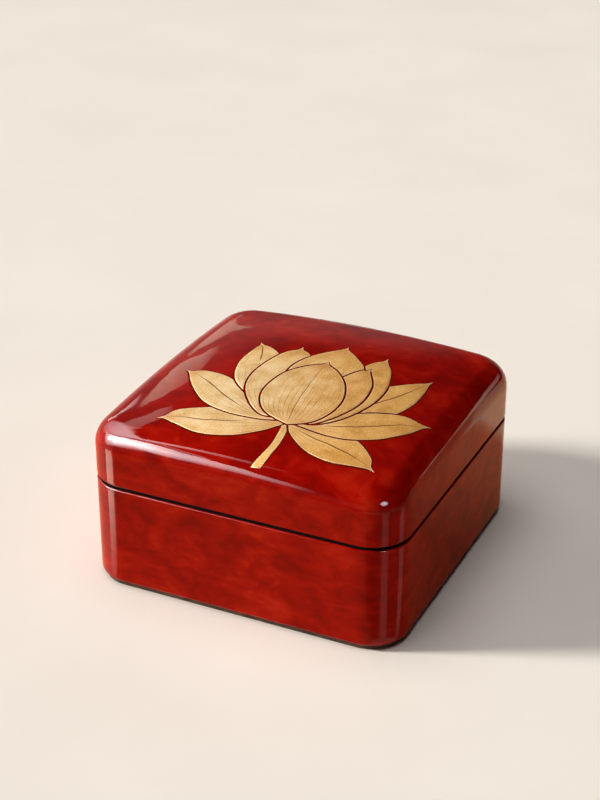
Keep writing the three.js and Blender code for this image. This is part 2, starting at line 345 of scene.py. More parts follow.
def build_joint(material):
    """The matte near-black faces of the groove, one layer on the body and one on the lid: the groove's black
    lacquer, darkened and dulled into painted shade.
    """
    for body, rim, groove, inward in (("body", BODY_RIM, BODY_GROOVE, -1), ("lid", LID_RIM, LID_GROOVE, 1)):
        back = groove + inward * JOINT_LAYER
        section = [
            (LINING_INSET, back, FINEST_ROUND),
            (GROOVE_DEPTH + JOINT_LAYER, back, FINEST_ROUND),
            (GROOVE_DEPTH + JOINT_LAYER, rim, FINEST_ROUND),
            (GROOVE_DEPTH, rim, FINEST_ROUND),
            (GROOVE_DEPTH, groove, FINEST_ROUND),
            (LINING_INSET, groove, FINEST_ROUND),
        ]
        if inward > 0:
            section.reverse()
        frame_piece(f"{body}_joint", section, material, body, "black_lacquer")


def build_lip(material):
    inside = LIP_OUTSIDE + LIP_THICKNESS
    section = [
        (LIP_OUTSIDE, LIP_FOOT, SMALL_ROUND),
        (inside, LIP_FOOT, SMALL_ROUND),
        (inside, LIP_TOP, LIP_ROUND),
        (LIP_OUTSIDE, LIP_TOP, LIP_ROUND),
    ]
    lip = frame_piece("lip_ring", section, material, "body", "black_lacquer")
    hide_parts("lip_front", "lip_right", "lip_back", "lip_left")


def build_tray(material):
    """The lacquered bottom inside the box, which runs up to the lip in a hollow curve."""
    outside = LIP_OUTSIDE + LIP_THICKNESS
    bottom = FLOOR_TOP
    surface = bottom + TRAY_THICKNESS
    border = outside + TRAY_FILLET
    rings = [at_height(border, bottom), at_height(outside, bottom)]
    curve = arc(border, surface + TRAY_FILLET, TRAY_FILLET, 180, 270)
    rings += [at_height(inset, height) for inset, height in curve]
    last = rings[-1]
    for step in range(1, LINING_STEPS):
        rings.append(last * (1 - step / LINING_STEPS, 1 - step / LINING_STEPS, 1))
    ends = ((0, 0, bottom), (0, 0, surface))
    make_piece("inner_tray", *wrap(rings, ends), material, "body", "black_lacquer")


# The lid

def crown_rings(drop, steps):
    """Rings over the crown, from the inner border of its rounded edge towards its middle."""
    border = plan_line(EDGE_RADIUS)
    return [on_crown(border * (1 - step / steps), drop) for step in range(steps)]


def edge_rings(drop, steps):
    """Rings round the lid's upper edge at a depth under its surface, from the side face up to the crown."""
    rings = []
    for angle in np.linspace(0, math.pi / 2, steps + 1)[:-1]:
        reach = (EDGE_RADIUS - drop) * math.cos(angle)
        rise = (EDGE_RADIUS - drop) * math.sin(angle)
        rings.append(on_crown(plan_line(EDGE_RADIUS - reach), EDGE_RADIUS - rise))
    return rings


def recess_rings():
    """Rings of the hollow under the crown, from the lid walls up to the middle of its ceiling."""
    border_inset = LID_WALL_THICKNESS + RECESS_REACH
    rings = []
    for angle in np.linspace(0, math.pi / 2, LINING_STEPS + 1):
        line = plan_line(border_inset - RECESS_REACH * math.cos(angle))
        ceiling = crown_height(line) - TOP_THICKNESS
        rings.append(np.column_stack((line, TOP_BASE + (ceiling - TOP_BASE) * math.sin(angle))))
    border = plan_line(border_inset)
    for step in range(1, LINING_STEPS):
        rings.append(on_crown(border * (1 - step / LINING_STEPS), TOP_THICKNESS))
    return rings


def build_lid_shell(material):
    """The red outside of the lid, from the meeting line up over the crown."""
    rings = crown_rings(SHELL_DEPTH, LINING_STEPS)[::-1] + edge_rings(SHELL_DEPTH, LINING_STEPS)[::-1]
    rings.append(at_height(SHELL_DEPTH, LID_GROOVE))
    for inset, height in arc(RIM_ROUND, LID_GROOVE + RIM_ROUND, RIM_ROUND, 270, 180):
        rings.append(at_height(inset, height))
    rings.append(at_height(0, LID_GROOVE + RIM_ROUND + SUPPORT))
    rings.append(on_crown(plan_line(0), EDGE_RADIUS + SUPPORT))
    rings += edge_rings(0, EDGE_STEPS) + crown_rings(0, CROWN_STEPS)
    ends = ((0, 0, CROWN_TOP - SHELL_DEPTH), (0, 0, CROWN_TOP))
    shell = make_piece("lid_shell", *wrap(rings, ends), material, "lid", "red_lacquer")
    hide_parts("lid_top", "lid_wall_front", "lid_wall_right", "lid_wall_back", "lid_wall_left")


def build_lid_lining(material):
    """The black inside of the lid, with the rim that rests on the body."""
    rings = crown_rings(LINING_INSET, LINING_STEPS)[::-1] + edge_rings(LINING_INSET, LINING_STEPS)[::-1]
    rings += [at_height(inset, LID_GROOVE + 2 * JOINT_LAYER) for inset in (LINING_INSET, BEHIND_JOINT)]
    rim = arc(BEHIND_JOINT + SMALL_ROUND, LID_RIM + SMALL_ROUND, SMALL_ROUND, 180, 270)
    rim += arc(LID_WALL_THICKNESS - SMALL_ROUND, LID_RIM + SMALL_ROUND, SMALL_ROUND, 270, 360)
    rings += [at_height(inset, height) for inset, height in rim]
    rings.append(at_height(LID_WALL_THICKNESS, LID_RIM + SMALL_ROUND + SUPPORT))
    rings += recess_rings()
    ends = ((0, 0, CROWN_TOP - LINING_INSET), (0, 0, CROWN_TOP - TOP_THICKNESS))
    make_piece("lid_lining", *wrap(rings, ends), material, "lid", "black_lacquer")


# The lotus is drawn on a grid with this many cells across the lid, and as many along its depth.
# The front petals come first, and each later one is cut back along the edges of those before it.
# A midrib is (lowest share of the petal's length, highest share, strength), and a fan of fine veins is
# (count, lowest share, highest share).
GRID_CELLS = 120

PETALS = {
    "petal_centre": {
        "base": (9.5, -37),
        "left": [(0, -33.4), (-5.2, -27.5), (-7.3, -19.5), (-5.6, -8), (-0.8, -0.2)],
        "tip": (5.5, 7.1),
        "right": [(16.4, -32.8), (20.3, -25), (20.7, -15.5), (17.2, -6), (11.4, 1.2)],
        "midrib": (0.06, 0.96, 0.5),
        "fan": (13, 0.05, 0.7),
    },
    "petal_right_inner": {
        "base": (9.5, -34),
        "left": [(10, -22), (12.5, -10), (15.4, 0), (18.3, 6.8)],
        "tip": (20.9, 10.4),
        "right": [(17, -33.7), (23.6, -25), (27.1, -14), (26, -2)],
        "fan": (9, 0.1, 0.55),
    },
    "petal_centre_back": {
        "base": (8, -30),
        "left": [(-2, -18), (-5, -7), (-4.7, 1.5), (-1.2, 11)],
        "tip": (6, 23.5),
        "right": [(18, -20), (21, -6), (18.6, 8.2), (13, 15.4)],
        "fan": (9, 0.5, 0.74),
    },
    "petal_left_inner": {
        "base": (5, -34.5),
        "left": [(-1.8, -34.8), (-9.2, -28.8), (-14.8, -19.6), (-16.2, -8), (-13.4, 7)],
        "tip": (-8.7, 15.4),
        "right": [(4, -20), (4, -6), (0.5, 4.5), (-4.2, 10.4)],
        "fan": (9, 0.12, 0.6),
    },
    "petal_right_outer": {
        "base": (9.5, -34),
        "left": [(11, -20), (14, -4), (17.2, 8), (19.4, 15.2)],
        "tip": (22.5, 22.3),
        "right": [(17.6, -33.7), (25.4, -26.2), (30.4, -14), (31.2, -1.5), (28, 11.4)],
        "fan": (9, 0.15, 0.6),
    },
    "petal_left_outer": {
        "base": (-4, -30),
        "left": [(-12.5, -24.5), (-21, -16.2), (-25.3, -4), (-25.3, 8.5)],
        "tip": (-25.7, 14.7),
        "right": [(-4, -16), (-9, -2), (-14.4, 6.2), (-20, 11)],
        "midrib": (0.62, 0.96, 1),
        "fan": (7, 0.3, 0.7),
    },
    "petal_right_low": {
        "base": (10, -35.6),
        "left": [(18, -31), (25.6, -24), (34, -17.4), (43, -12.8)],
        "tip": (53.2, -12.7),
        "right": [(17, -36.6), (24.5, -37), (32.5, -35.4), (41, -30.2), (48, -21.4)],
        "midrib": (0.22, 0.93, 1),
        "fan": (7, 0.08, 0.5),
    },
    "petal_right_high": {
        "base": (17, -32),
        "left": [(20, -18), (25.6, -6), (32, 2.8), (37.8, 10)],
        "tip": (42.6, 16.1),
        "right": [(30, -24), (38.6, -15.8), (42.4, -5.6), (43, 4.6)],
        "midrib": (0.3, 0.95, 1),
        "fan": (6, 0.2, 0.55),
    },
    "petal_left_high": {
        "base": (7, -35.6),
        "left": [(-1.6, -37.5), (-13.6, -37.2), (-24.7, -33.3), (-34, -24.2)],
        "tip": (-42.5, -13.2),
        "right": [(-4, -32), (-12.4, -25), (-22.6, -16.8), (-33.4, -13.3)],
        "midrib": (0.3, 0.95, 1),
        "fan": (7, 0.15, 0.55),
    },
    "petal_left_low": {
        "base": (8.2, -37.6),
        "left": [(2.7, -43.2), (-6.3, -48.5), (-17.8, -50.5), (-28.3, -47.9)],
        "tip": (-36.3, -46.5),
        "right": [(0, -34), (-12, -34.6), (-22, -37), (-31, -40.4)],
        "midrib": (0.3, 0.95, 1),
        "fan": (8, 0.06, 0.55),
    },
    "petal_front_right": {
        "base": (10.4, -37.4),
        "left": [(16, -35.6), (26, -34), (35.4, -35.4), (42.6, -41.2)],
        "tip": (46.8, -47.7),
        "right": [(13.2, -41.6), (21.3, -47.3), (30.6, -49.3), (39.4, -47.9)],
        "midrib": (0.12, 0.95, 1),
        "fan": (7, 0.05, 0.5),
    },
}

STEM = {
    "left": [(10.3, -37), (11.2, -41), (11.7, -47.6), (11, -54), (9.4, -57.6)],
    "right": [(8.2, -37), (8.9, -42.6), (9.2, -48), (8.4, -53.4), (6, -57.8)],
}


def on_grid(points):
    return np.array(points, float) * (2 * HALF_WIDTH / GRID_CELLS, 2 * HALF_DEPTH / GRID_CELLS)


def smooth_line(points):
    """A smooth line through drawn points, with even steps between each two of them."""
    points = on_grid(points)
    padded = np.vstack((points[:1], points, points[-1:]))
    line = []
    for index in range(len(points) - 1):
        before, here, there, after = padded[index : index + 4]
        leaving = (there - before) / 2
        arriving = (after - here) / 2
        for t in np.arange(STROKE_STEPS) / STROKE_STEPS:
            cubic = (2 * here - 2 * there + leaving + arriving) * t**3
            square = (3 * there - 3 * here - 2 * leaving - arriving) * t**2
            line.append(cubic + square + leaving * t + here)
    return np.array([*line, points[-1]])


def resampled(line, count):
    """The line with count points at even distances along it."""
    travelled = np.concatenate(([0], np.cumsum(np.linalg.norm(np.diff(line, axis=0), axis=1))))
    places = np.linspace(0, travelled[-1], count)
    return np.column_stack([np.interp(places, travelled, line[:, axis]) for axis in range(2)])


def petal_sides(petal):
    """Left and right edges of a petal or of the stem, from its base to its end."""
    if "tip" not in petal:
        return [smooth_line(petal[side]) for side in ("left", "right")]
    tip = np.array(petal["tip"], float)
    towards = [unit(np.array(petal[side][-1]) - tip) for side in ("left", "right")]
    middle = unit(towards[0] + towards[1])
    lines = []
    for side, leaving in zip(("left", "right"), towards):
        leaning = tip + unit(leaving * (1 - TIP_LEAN) + middle * TIP_LEAN) * TIP_REACH
        lines.append(smooth_line([petal["base"], *petal[side], leaning, tip]))
    return lines


def outline_of(petal):
    """Anticlockwise outline of a petal or of the stem."""
    left, right = petal_sides(petal)
    if "tip" in petal:
        left = left[:-1]
        right = right[1:]
    return np.vstack((left, right[::-1]))[::-1]


def grown(outline, distance):
    """An anticlockwise outline moved outwards by a distance, or one for each point, corners kept short."""
    along = outline - np.roll(outline, 1, axis=0)
    along /= np.linalg.norm(along, axis=1, keepdims=True)
    tangent = along + np.roll(along, -1, axis=0)
    tangent /= np.linalg.norm(tangent, axis=1, keepdims=True)
    return outline + np.column_stack((tangent[:, 1], -tangent[:, 0])) * distance


def line_round(petal, width):
    """Outline of a petal together with the dark line round it."""
    outline = outline_of(petal)
    widths = np.full((len(outline), 1), width)
    if "tip" in petal:
        from_tip = np.linalg.norm(outline - on_grid(petal["tip"]), axis=1, keepdims=True)
        widths *= np.clip(from_tip / (TIP_REACH * MILLIMETRE), TIP_LINE_SHARE, 1)
    return grown(outline, widths)


# Cutting flat regions and laying them on the lid

def triangulate(points, edges):
    """Delaunay triangles that keep the edges given, worked out in millimetres to be precise.

    Returns their vertices, the triangles, and which of the points given each vertex comes from.
    """
    flat = [Vector(point) for point in np.asarray(points) / MILLIMETRE]
    found = delaunay_2d_cdt(flat, list(edges), [], 0, MERGE_DISTANCE, True)
    places = np.array([tuple(point) for point in found[0]]) * MILLIMETRE
    return places, found[2], found[3]


def closed_edges(start, count):
    """Edges that join count points to a closed line, the first of them numbered start."""
    return [(start + index, start + (index + 1) % count) for index in range(count)]


def islands(triangles):
    """The triangles in groups that hang together along their edges."""
    by_edge = {}
    for index, triangle in enumerate(triangles):
        for a, b in zip(triangle, (*triangle[1:], triangle[0])):
            by_edge.setdefault(frozenset((a, b)), []).append(index)
    waiting = set(range(len(triangles)))
    groups = []
    while waiting:
        group = []
        open_ones = [waiting.pop()]
        while open_ones:
            index = open_ones.pop()
            group.append(index)
            triangle = triangles[index]
            for a, b in zip(triangle, (*triangle[1:], triangle[0])):
                for other in by_edge[frozenset((a, b))]:
                    if other in waiting:
                        waiting.remove(other)
                        open_ones.append(other)
        groups.append([triangles[index] for index in group])
    return groups


def border_of(triangles):
    """Edges that only one triangle has, each with the region on its left."""
    directed = {(a, b) for triangle in triangles for a, b in zip(triangle, (*triangle[1:], triangle[0]))}
    return [edge for edge in directed if edge[::-1] not in directed]


def region_border(outlines, keep):
    """Border of the largest region that keep accepts, as points and edges.

    For each place, keep is given whether it lies inside each of the outlines.
    """
    edges = []
    for outline in outlines:
        edges.append(closed_edges(sum(map(len, edges)), len(outline)))
    points = np.vstack(outlines)
    places, triangles, _ = triangulate(points, [edge for closed in edges for edge in closed])
    centres = places[np.array(triangles)].mean(axis=1)
    inside = np.array([inside_border(centres, points, closed) for closed in edges])
    kept = [triangle for triangle, insides in zip(triangles, inside.T) if keep(insides)]
    border = sorted(border_of(max(islands(kept), key=len)))
    used = sorted({vertex for edge in border for vertex in edge})
    number = {vertex: index for index, vertex in enumerate(used)}
    return places[used], [(number[a], number[b]) for a, b in border]


def inside_border(points, border, edges):
    """Whether each point lies inside the border, by counting crossings to its right."""
    starts = border[[a for a, _ in edges]]
    ends = border[[b for _, b in edges]]
    crosses = (starts[:, 1] > points[:, 1:2]) != (ends[:, 1] > points[:, 1:2])
    rise = ends[:, 1] - starts[:, 1]
    share = (points[:, 1:2] - starts[:, 1]) / np.where(rise == 0, 1, rise)
    at = starts[:, 0] + share * (ends[:, 0] - starts[:, 0])
    return (crosses & (at > points[:, 0:1])).sum(axis=1) % 2 == 1


def distance_to_border(points, border, edges):
    starts = border[[a for a, _ in edges]]
    spans = border[[b for _, b in edges]] - starts
    lengths = np.maximum((spans**2).sum(axis=1), LEAST_SQUARE)
    offsets = points[:, None, :] - starts
    share = np.clip((offsets * spans).sum(axis=2) / lengths, 0, 1)
    return np.linalg.norm(offsets - share[..., None] * spans, axis=2).min(axis=1)


def inner_points(border, edges, spacing, margin):
    """A triangular lattice of points inside a border, clear of it by a margin."""
    lowest = border.min(axis=0)
    highest = border.max(axis=0)
    row_height = spacing * math.sqrt(3) / 2
    rows = int((highest[1] - lowest[1]) / row_height)
    columns = int((highest[0] - lowest[0]) / spacing) + 1
    row, column = np.mgrid[0 : rows + 1, 0 : columns + 1]
    points = np.column_stack((
        lowest[0] + (column.ravel() + 0.5 * (row.ravel() % 2)) * spacing,
        lowest[1] + row.ravel() * row_height,
    ))
    points = points[inside_border(points, border, edges)]
    return points[distance_to_border(points, border, edges) > margin]


def edge_points(border, edges, depths):
    """Points at a few depths inside a border, so that its edge can be rounded.

    A point that lies nearer than its depth to another stretch of the border is left out.
    """
    starts = border[[a for a, _ in edges]]
    ends = border[[b for _, b in edges]]
    along = ends - starts
    lengths = np.linalg.norm(along, axis=1, keepdims=True)
    inward = np.column_stack((-along[:, 1], along[:, 0])) / np.maximum(lengths, LEAST_LENGTH)
    found = []
    for depth in depths:
        points = (starts + ends) / 2 + inward * depth
        points = points[inside_border(points, border, edges)]
        found.append(points[distance_to_border(points, border, edges) > 0.95 * depth])
    return np.vstack(found)


def add_numbers(piece, name, values):
    attribute = piece.data.attributes.new(name, "FLOAT", "POINT")
    attribute.data.foreach_set("value", np.asarray(values, np.float32))


def lay_on_lid(name, region, inner_places, heights, material, slot):
    """A thin closed sheet on the lid, cut to a region and with the inner points given.

    Returns the piece and the places of its vertices in the plan.
    """
    border, edges = region
    sunk, rim_height, top_height, edge_round = heights
    found, triangles, _ = triangulate(np.vstack((border, inner_places)), edges)
    centres = found[np.array(triangles)].mean(axis=1)
    kept = [triangle for triangle, inside in zip(triangles, inside_border(centres, border, edges)) if inside]
    used = sorted({vertex for triangle in kept for vertex in triangle})
    number = {vertex: index for index, vertex in enumerate(used)}
    places = found[used]
    depth = distance_to_border(places, border, edges)
    rise = np.sqrt(1 - (1 - np.minimum(depth / edge_round, 1)) ** 2)
    height = rim_height + (top_height - rim_height) * rise
    top = np.column_stack((places, lid_height(places) + height))

    rim = [(number[a], number[b]) for a, b in border_of(kept)]
    rim_vertices = sorted({vertex for edge in rim for vertex in edge})
    below = {vertex: index for index, vertex in enumerate(rim_vertices)}
    lower = places[rim_vertices]
    bottom = np.column_stack((lower, lid_height(lower) - sunk))
    faces = [tuple(number[vertex] for vertex in triangle) for triangle in kept]
    faces += [(b, a, len(used) + below[a], len(used) + below[b]) for a, b in rim]
    rim_below = [(below[a], below[b]) for a, b in rim]
    flat, under, under_origins = triangulate(lower, rim_below)
    middles = flat[np.array(under)].mean(axis=1)
    for triangle, inside in zip(under, inside_border(middles, border, edges)):
        if inside:
            faces.append(tuple(len(used) + under_origins[vertex][0] for vertex in reversed(triangle)))
    piece = make_piece(name, np.vstack((top, bottom)), faces, material, "lid", slot, GOLD_SHARP_DEGREES)
    add_numbers(piece, "from_edge", np.concatenate((depth, np.zeros(len(lower)))) / MILLIMETRE)
    return piece, np.vstack((places, lower))


# Veins and petals

def petal_grid(petal):
    """Points over a whole petal, hidden parts included, in rows across it from its left edge to its right."""
    left, right = [resampled(side, ALONG_SAMPLES) for side in petal_sides(petal)]
    across = np.linspace(0, 1, ACROSS_SAMPLES)[:, None, None]
    return left * (1 - across) + right * across


def share_of_petal(grid, points):
    """For each point, how far it lies across and along the petal, from 0 to 1."""
    corners = [Vector((*place, 0)) / MILLIMETRE for place in grid.reshape(-1, 2)]
    steps = [np.linspace(0, 1, count) for count in grid.shape[:2]]
    shares = np.stack(np.meshgrid(*steps, indexing="ij"), axis=2).reshape(-1, 2)
    faces = []
    for across in range(ACROSS_SAMPLES - 1):
        for along in range(ALONG_SAMPLES - 1):
            first = across * ALONG_SAMPLES + along
            faces.append((first, first + 1, first + 1 + ALONG_SAMPLES, first + ALONG_SAMPLES))
    tree = BVHTree.FromPolygons(corners, faces)
    found = []
    for point in points:
        place, _, number, _ = tree.find_nearest(Vector((*point, 0)) / MILLIMETRE)
        weights = poly_3d_calc([corners[corner] for corner in faces[number]], place)
        found.append(np.array(weights) @ shares[list(faces[number])])
    return np.clip(np.nan_to_num(found), 0, 1)


def tapered(along, lowest, highest):
    """How strongly a vein between two shares of the petal's length is drawn, fading out towards its ends."""
    share = (along - lowest) / (highest - lowest)
    return np.clip(np.minimum(FADE_IN * share, FADE_OUT * (1 - share)), 0, 1)


def add_veins(piece, petal, seed, grid, places):
    """A UV map across and along the petal and the numbers that the finish draws the petal's veins from."""
    random = np.random.default_rng(seed)
    shares = share_of_petal(grid, places)
    across, along = shares.T
    layer = piece.data.uv_layers.new(name="petal")
    corners = np.zeros(len(piece.data.loops), int)
    piece.data.loops.foreach_get("vertex_index", corners)
    layer.data.foreach_set("uv", shares[corners].ravel())

    widths = np.linalg.norm(grid[-1] - grid[0], axis=1) / MILLIMETRE
    width = np.interp(along, np.linspace(0, 1, ALONG_SAMPLES), widths)
    lowest, highest, strength = petal.get("midrib", (0, 1, 0))
    add_numbers(piece, "off_middle", (across - 0.5) * width)
    add_numbers(piece, "rib", strength * tapered(along, lowest, highest))

    count, lowest, highest = petal.get("fan", (1, 0, 1))
    starts = lowest + random.uniform(0, START_SPREAD, count)
    beside = np.abs(2 * (np.arange(count) + 0.5) / count - 1)
    ends = lowest + (highest - lowest) * (1 - SIDE_SHORTENING * beside**SIDE_CURVE)
    ends -= random.uniform(0, END_SPREAD, count)
    own = np.minimum((across * count).astype(int), count - 1)
    add_numbers(piece, "fan_place", across * count)
    add_numbers(piece, "fan_spacing", width / count)
    add_numbers(piece, "fan", tapered(along, starts[own], ends[own]) * ("fan" in petal))


def uncovered(insides):
    """Whether a place lies inside the first outline and inside none of the others."""
    return insides[0] and not insides[1:].any()


def build_lotus(gold, ground):
    drawn = {**PETALS, "lotus_stem": STEM}
    blockers = []
    for number, (name, petal) in enumerate(drawn.items()):
        region = region_border([outline_of(petal), *blockers], uncovered)
        rounding = edge_points(*region, [GOLD_EDGE_ROUND * share for share in EDGE_POINT_DEPTHS])
        lattice = inner_points(*region, GOLD_SPACING, CLEAR_BORDER * GOLD_EDGE_ROUND)
        heights = (GOLD_SUNK, GOLD_RIM, GOLD_TOP, GOLD_EDGE_ROUND)
        inner = np.vstack((rounding, lattice))
        piece, places = lay_on_lid(f"{name}_leaf", region, inner, heights, gold, "cut_gold")
        add_veins(piece, petal, number, petal_grid(petal), places)
        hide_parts(name)
        blockers.append(line_round(petal, GOLD_GAP))
    around = [line_round(petal, GROUND_BORDER) for petal in drawn.values()]
    # The ground is copied a little towards the front: a painted shadow under the near edges of the gold.
    around += [line - (0, NEAR_SHADOW_LINE) for line in around]
    region = region_border(around, np.any)
    lattice = inner_points(*region, GROUND_SPACING, GROUND_SPACING / 2)
    heights = (GOLD_SUNK, 0, GROUND_TOP, GROUND_EDGE_ROUND)
    lay_on_lid("lotus_ground", region, lattice, heights, ground, "red_lacquer")


# Finishes

# The cards that the gloss mirrors are brighter by as much as this coat mirrors less than a whole one.
COAT_WEIGHT = 0.65


class Nodes:
    """Short calls for the nodes of one tree."""

    def __init__(self, tree):
        self.tree = tree

    def add(self, kind, inputs=None, **properties):
        node = self.tree.nodes.new(f"ShaderNode{kind}")
        for key, value in properties.items():
            setattr(node, key, value)
        for key, value in (inputs or {}).items():
            self.feed(node.inputs[key], value)
        return node

    def feed(self, socket, value):
        if isinstance(value, bpy.types.NodeSocket):
            self.tree.links.new(value, socket)
        else:
            socket.default_value = value

    def math(self, operation, *values):
        return self.add("Math", dict(enumerate(values)), operation=operation).outputs["Value"]

    def weighted(self, *parts):
        """The sum of values, each given with its weight."""
        products = [self.math("MULTIPLY", value, weight) for value, weight in parts]
        total = products[0]
        for product in products[1:]:
            total = self.math("ADD", total, product)
        return total

    def ranged(self, value, low, high, to_low=0.0, to_high=1.0):
        """The value moved smoothly from one range to another."""
        inputs = {"Value": value, "From Min": low, "From Max": high, "To Min": to_low, "To Max": to_high}
        return self.add("MapRange", inputs, interpolation_type="SMOOTHSTEP").outputs["Result"]


# Shares of a noise's range below which a finish has its darkest tone, and above which it has its palest
DARK_TONE = 0.35
PALE_TONE = 0.7


class Finish(Nodes):
    """A material with one Principled shader, and what feeds it."""

    def __init__(self, name, settings):
        self.material = bpy.data.materials.new(name)
        self.material.use_nodes = True
        super().__init__(self.material.node_tree)
        self.shader = self.tree.nodes["Principled BSDF"]
        for socket, value in settings.items():
            self.shader.inputs[socket].default_value = value

    def millimetres(self, stretch=(1, 1, 1)):
        """Places on the piece in millimetres, each axis drawn out by its stretch."""
        places = self.add("TexCoord").outputs["Object"]
        scale = [1 / (MILLIMETRE * share) for share in stretch]
        return self.add("Mapping", {"Vector": places, "Scale": scale}).outputs["Vector"]

    def noise(self, vector, size, detail=4, roughness=0.5, distortion=0):
        """Noise from 0 to 1 whose lumps are about one size across."""
        inputs = {"Vector": vector, "Scale": 1 / size, "Detail": detail, "Roughness": roughness,
                  "Distortion": distortion}
        return self.add("TexNoise", inputs).outputs["Fac"]

    def ramp(self, value, stops):
        node = self.add("ValToRGB", {"Fac": value})
        elements = node.color_ramp.elements
        while len(elements) < len(stops):
            elements.new(0.5)
        for element, (place, colour) in zip(elements, stops):
            element.position = place
            element.color = (*colour, 1)
        return node.outputs["Color"]

    def mix(self, share, first, second, blend="MIX"):
        node = self.add("Mix", data_type="RGBA", blend_type=blend)
        self.feed(node.inputs[0], share)
        for socket, colour in ((node.inputs[6], first), (node.inputs[7], second)):
            self.feed(socket, colour if isinstance(colour, bpy.types.NodeSocket) else (*colour, 1))
        return node.outputs[2]

    def bump(self, height, distance, strength=1.0):
        inputs = {"Height": height, "Distance": distance, "Strength": strength}
        return self.add("Bump", inputs).outputs["Normal"]

    def set(self, socket, value):
        self.feed(self.shader.inputs[socket], value)

    def tint(self, tone, darkest, palest, dark_tone=DARK_TONE):
        """Sets the base colour between two that follow the tone."""
        self.set("Base Color", self.ramp(tone, ((dark_tone, darkest), (PALE_TONE, palest))))


def red_lacquer():
    """Polished red lacquer: cloudy, with soft wisps that run round the sides, under a clear gloss."""
    finish = Finish("red_lacquer", {
        "Roughness": 0.85,
        "Specular IOR Level": 0.0,
        "Coat Weight": COAT_WEIGHT,
        "Coat Roughness": 0.025,
        "Coat IOR": 1.45,
    })
    clouds = finish.noise(finish.millimetres((1.3, 1.3, 0.8)), 17, 3, 0.5, 1.0)
    patches = finish.noise(finish.millimetres((1.5, 1.5, 0.8)), 7, 3, 0.5, 1.3)
    wisps = finish.noise(finish.millimetres((2.0, 2.0, 0.7)), 2.6, 4, 0.6, 1.2)
    tone = finish.weighted((clouds, 0.52), (patches, 0.38), (wisps, 0.10))
    colour = finish.ramp(tone, (
        (0.36, (0.195, 0.0016, 0.0004)),
        (0.46, (0.258, 0.0022, 0.0005)),
        (0.54, (0.315, 0.0040, 0.0008)),
        (0.66, (0.395, 0.0120, 0.0028)),
    ))
    finish.set("Base Color", colour)
    waves = finish.noise(finish.millimetres(), 22, 2, 0.4)
    finish.set("Coat Normal", finish.bump(waves, 0.00005))
    return finish.material


def black_lacquer():
    """Polished black lacquer, with a breath of brown and faint rubbing marks."""
    finish = Finish("black_lacquer", {
        "Specular IOR Level": 0.2,
        "Coat Weight": 0.52,
        "Coat Roughness": 0.06,
        "Coat IOR": 1.35,
    })
    tone = finish.noise(finish.millimetres((2, 1, 1)), 9, 5, 0.6, 0.8)
    finish.tint(tone, (0.003, 0.002, 0.0018), (0.014, 0.007, 0.006))
    rubbed = finish.noise(finish.millimetres((6, 1, 1)), 1.2, 4, 0.6)
    finish.set("Roughness", finish.ranged(rubbed, 0.35, 0.7, 0.3, 0.45))
    finish.set("Coat Normal", finish.bump(finish.noise(finish.millimetres(), 14, 2, 0.4), 0.0001))
    return finish.material


def matte_lacquer_painted_light(name, darkest, palest):
    """A matte lacquer: near-black in the joint between lid and body, partly painted shade, and brown on the
    foot, a painted reflection of the floor.
    """
    finish = Finish(name, {"Roughness": 0.7, "Specular IOR Level": 0.08})
    finish.tint(finish.noise(finish.millimetres(), 3, 4, 0.6), darkest, palest)
    return finish.material


def ground_lacquer():
    """The dark lacquer that is left as a line between the pieces of gold."""
    finish = Finish("ground_lacquer", {"Roughness": 0.5, "Specular IOR Level": 0.0})
    tone = finish.noise(finish.millimetres(), 2.5, 4, 0.6)
    finish.tint(tone, (0.115, 0.0050, 0.0010), (0.175, 0.0095, 0.0020))
    return finish.material


# A painted sheen: the gold is paler and cooler near this place over the lid, as if it mirrored the light
# there, and warmer farther from it. All are in millimetres.
PAINTED_SHEEN_PLACE = (-25, -25, 70)
PAINTED_SHEEN_NEAR = 5
PAINTED_SHEEN_FAR = 65

# Colours that darken or brighten the gold leaf
# The colours of the painted sheen, near its place and beyond it
GOLD_IN_PAINTED_SHEEN = (0.79, 0.86, 0.98)
GOLD_BEYOND_PAINTED_SHEEN = (0.86, 0.70, 0.44)
GOLD_BROWN = (0.52, 0.220, 0.050)
GOLD_SPECK = (0.98, 0.860, 0.600)
# A painted highlight along the edge of each piece of gold
GOLD_EDGE_HIGHLIGHT = (0.98, 0.800, 0.500)
HATCHING = (0.30, 0.105, 0.024)
PORE = (0.42, 0.160, 0.035)
FINE_INK = (0.26, 0.110, 0.035)
RIB_INK = (0.11, 0.028, 0.009)


def petal_shares(finish):
    """How far a place lies across and along its petal, as X and Y from 0 to 1."""
    return finish.add("UVMap", uv_map="petal").outputs["UV"]


def strokes(finish, across, lengthwise, detail):
    """Noise drawn out along the petal."""
    scale = (across, lengthwise, 1)
    places = finish.add("Mapping", {"Vector": petal_shares(finish), "Scale": scale}).outputs["Vector"]
    return finish.noise(places, 1, detail, 0.6)


def number_of(finish, name):
    return finish.add("Attribute", attribute_name=name).outputs["Fac"]


def leaf_colour(finish, mottled, powder):
    """The gold leaf: mottled, brushed along the petal, and with a painted sheen that makes it paler and
    cooler round one place on the lid.
    """
    tone = finish.weighted((mottled, 0.4), (strokes(finish, 45, 2.5, 3), 0.3), (powder, 0.3))
    leaf = finish.ramp(tone, (
        (0.36, (0.66, 0.370, 0.115)),
        (0.46, (0.79, 0.490, 0.190)),
        (0.55, (0.86, 0.600, 0.290)),
        (0.66, (0.92, 0.720, 0.430)),
    ))
    # Painted sheen: the leaf is paler and cooler the nearer it lies to one place over the lid.
    from_painted_sheen = finish.add("VectorMath", {0: finish.millimetres(), 1: PAINTED_SHEEN_PLACE}, operation="DISTANCE")
    away = finish.ranged(from_painted_sheen.outputs["Value"], PAINTED_SHEEN_NEAR, PAINTED_SHEEN_FAR)
    return finish.mix(1.0, leaf, finish.mix(away, GOLD_IN_PAINTED_SHEEN, GOLD_BEYOND_PAINTED_SHEEN), "MULTIPLY")


